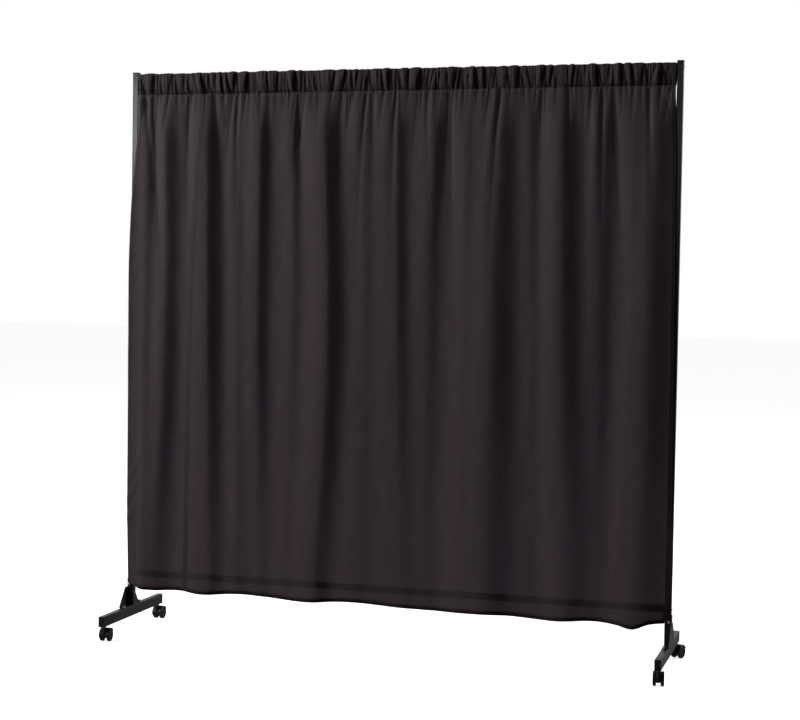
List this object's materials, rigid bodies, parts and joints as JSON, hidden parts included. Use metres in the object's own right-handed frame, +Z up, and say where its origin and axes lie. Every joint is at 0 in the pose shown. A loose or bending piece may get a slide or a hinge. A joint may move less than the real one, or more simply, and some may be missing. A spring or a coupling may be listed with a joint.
{
  "type": "rolling partition wall",
  "caption": "Free-standing rolling partition: a black tube frame on caster feet carries a gathered sheer charcoal curtain on its top rail.",
  "frame": {"origin": "on the floor, midway between the two posts and the two ends of the feet", "axes": "+X along the wall towards the right post, -Y towards the curtain side, +Z up"},
  "size_m": [1.8505, 0.4754, 1.87],
  "materials": {
    "black_coat": "semi-gloss black powder coat on steel tube",
    "black_plastic": "moulded black plastic, fine satin",
    "zinc_steel": "bright zinc plate",
    "wheel_nylon": "black nylon, satin",
    "curtain_cloth": "thin translucent charcoal polyester"
  },
  "bodies": {
    "frame": {"post_left": "black_coat", "foot_left": "black_coat", "gusset_left": "black_coat", "post_cap_left": "black_plastic", "foot_cap_front_left": "black_plastic", "foot_cap_rear_left": "black_plastic", "post_right": "black_coat", "foot_right": "black_coat", "gusset_right": "black_coat", "post_cap_right": "black_plastic", "foot_cap_front_right": "black_plastic", "foot_cap_rear_right": "black_plastic", "top_rail": "black_coat", "lower_rail": "black_coat", "rail_plugs": "black_plastic", "rail_bolts": "zinc_steel", "foot_bolts": "zinc_steel", "foot_washers": "zinc_steel", "foot_nuts": "zinc_steel", "lug_bolts": "zinc_steel", "lug_nuts": "zinc_steel", "caster_nuts": "zinc_steel", "caster_stem_front_left": "zinc_steel", "caster_stem_rear_left": "zinc_steel", "caster_stem_front_right": "zinc_steel", "caster_stem_rear_right": "zinc_steel", "curtain_pocket": "curtain_cloth", "curtain_narrow_width": "curtain_cloth", "curtain_wide_width": "curtain_cloth"},
    "swivel_front_left": {"caster_housing_front_left": "black_plastic", "caster_axle_front_left": "zinc_steel"},
    "wheel_a_front_left": {"caster_wheel_a_front_left": "wheel_nylon"},
    "wheel_b_front_left": {"caster_wheel_b_front_left": "wheel_nylon"},
    "swivel_rear_left": {"caster_housing_rear_left": "black_plastic", "caster_axle_rear_left": "zinc_steel"},
    "wheel_a_rear_left": {"caster_wheel_a_rear_left": "wheel_nylon"},
    "wheel_b_rear_left": {"caster_wheel_b_rear_left": "wheel_nylon"},
    "swivel_front_right": {"caster_housing_front_right": "black_plastic", "caster_axle_front_right": "zinc_steel"},
    "wheel_a_front_right": {"caster_wheel_a_front_right": "wheel_nylon"},
    "wheel_b_front_right": {"caster_wheel_b_front_right": "wheel_nylon"},
    "swivel_rear_right": {"caster_housing_rear_right": "black_plastic", "caster_axle_rear_right": "zinc_steel"},
    "wheel_a_rear_right": {"caster_wheel_a_rear_right": "wheel_nylon"},
    "wheel_b_rear_right": {"caster_wheel_b_rear_right": "wheel_nylon"}
  },
  "joints": [
    {"name": "front_left_swivel", "type": "hinge", "parent": "frame", "child": "swivel_front_left", "pos_m": [-0.9, -0.205, 0.047], "axis": [0, 0, 1], "continuous": true},
    {"name": "front_left_wheel_a_spin", "type": "hinge", "parent": "swivel_front_left", "child": "wheel_a_front_left", "pos_m": [-0.90157, -0.18707, 0.02], "axis": [-0.9962, -0.0872, 0], "continuous": true},
    {"name": "front_left_wheel_b_spin", "type": "hinge", "parent": "swivel_front_left", "child": "wheel_b_front_left", "pos_m": [-0.90157, -0.18707, 0.02], "axis": [-0.9962, -0.0872, 0], "continuous": true},
    {"name": "rear_left_swivel", "type": "hinge", "parent": "frame", "child": "swivel_rear_left", "pos_m": [-0.9, 0.205, 0.047], "axis": [0, 0, 1], "continuous": true},
    {"name": "rear_left_wheel_a_spin", "type": "hinge", "parent": "swivel_rear_left", "child": "wheel_a_rear_left", "pos_m": [-0.89906, 0.22298, 0.02], "axis": [-0.9986, 0.0523, 0], "continuous": true},
    {"name": "rear_left_wheel_b_spin", "type": "hinge", "parent": "swivel_rear_left", "child": "wheel_b_rear_left", "pos_m": [-0.89906, 0.22298, 0.02], "axis": [-0.9986, 0.0523, 0], "continuous": true},
    {"name": "front_right_swivel", "type": "hinge", "parent": "frame", "child": "swivel_front_right", "pos_m": [0.9, -0.205, 0.047], "axis": [0, 0, 1], "continuous": true},
    {"name": "front_right_wheel_a_spin", "type": "hinge", "parent": "swivel_front_right", "child": "wheel_a_front_right", "pos_m": [0.89812, -0.1871, 0.02], "axis": [-0.9945, -0.1045, 0], "continuous": true},
    {"name": "front_right_wheel_b_spin", "type": "hinge", "parent": "swivel_front_right", "child": "wheel_b_front_right", "pos_m": [0.89812, -0.1871, 0.02], "axis": [-0.9945, -0.1045, 0], "continuous": true},
    {"name": "rear_right_swivel", "type": "hinge", "parent": "frame", "child": "swivel_rear_right", "pos_m": [0.9, 0.205, 0.047], "axis": [0, 0, 1], "continuous": true},
    {"name": "rear_right_wheel_a_spin", "type": "hinge", "parent": "swivel_rear_right", "child": "wheel_a_rear_right", "pos_m": [0.90674, 0.22169, 0.02], "axis": [-0.9272, 0.3746, 0], "continuous": true},
    {"name": "rear_right_wheel_b_spin", "type": "hinge", "parent": "swivel_rear_right", "child": "wheel_b_rear_right", "pos_m": [0.90674, 0.22169, 0.02], "axis": [-0.9272, 0.3746, 0], "continuous": true}
  ]
}
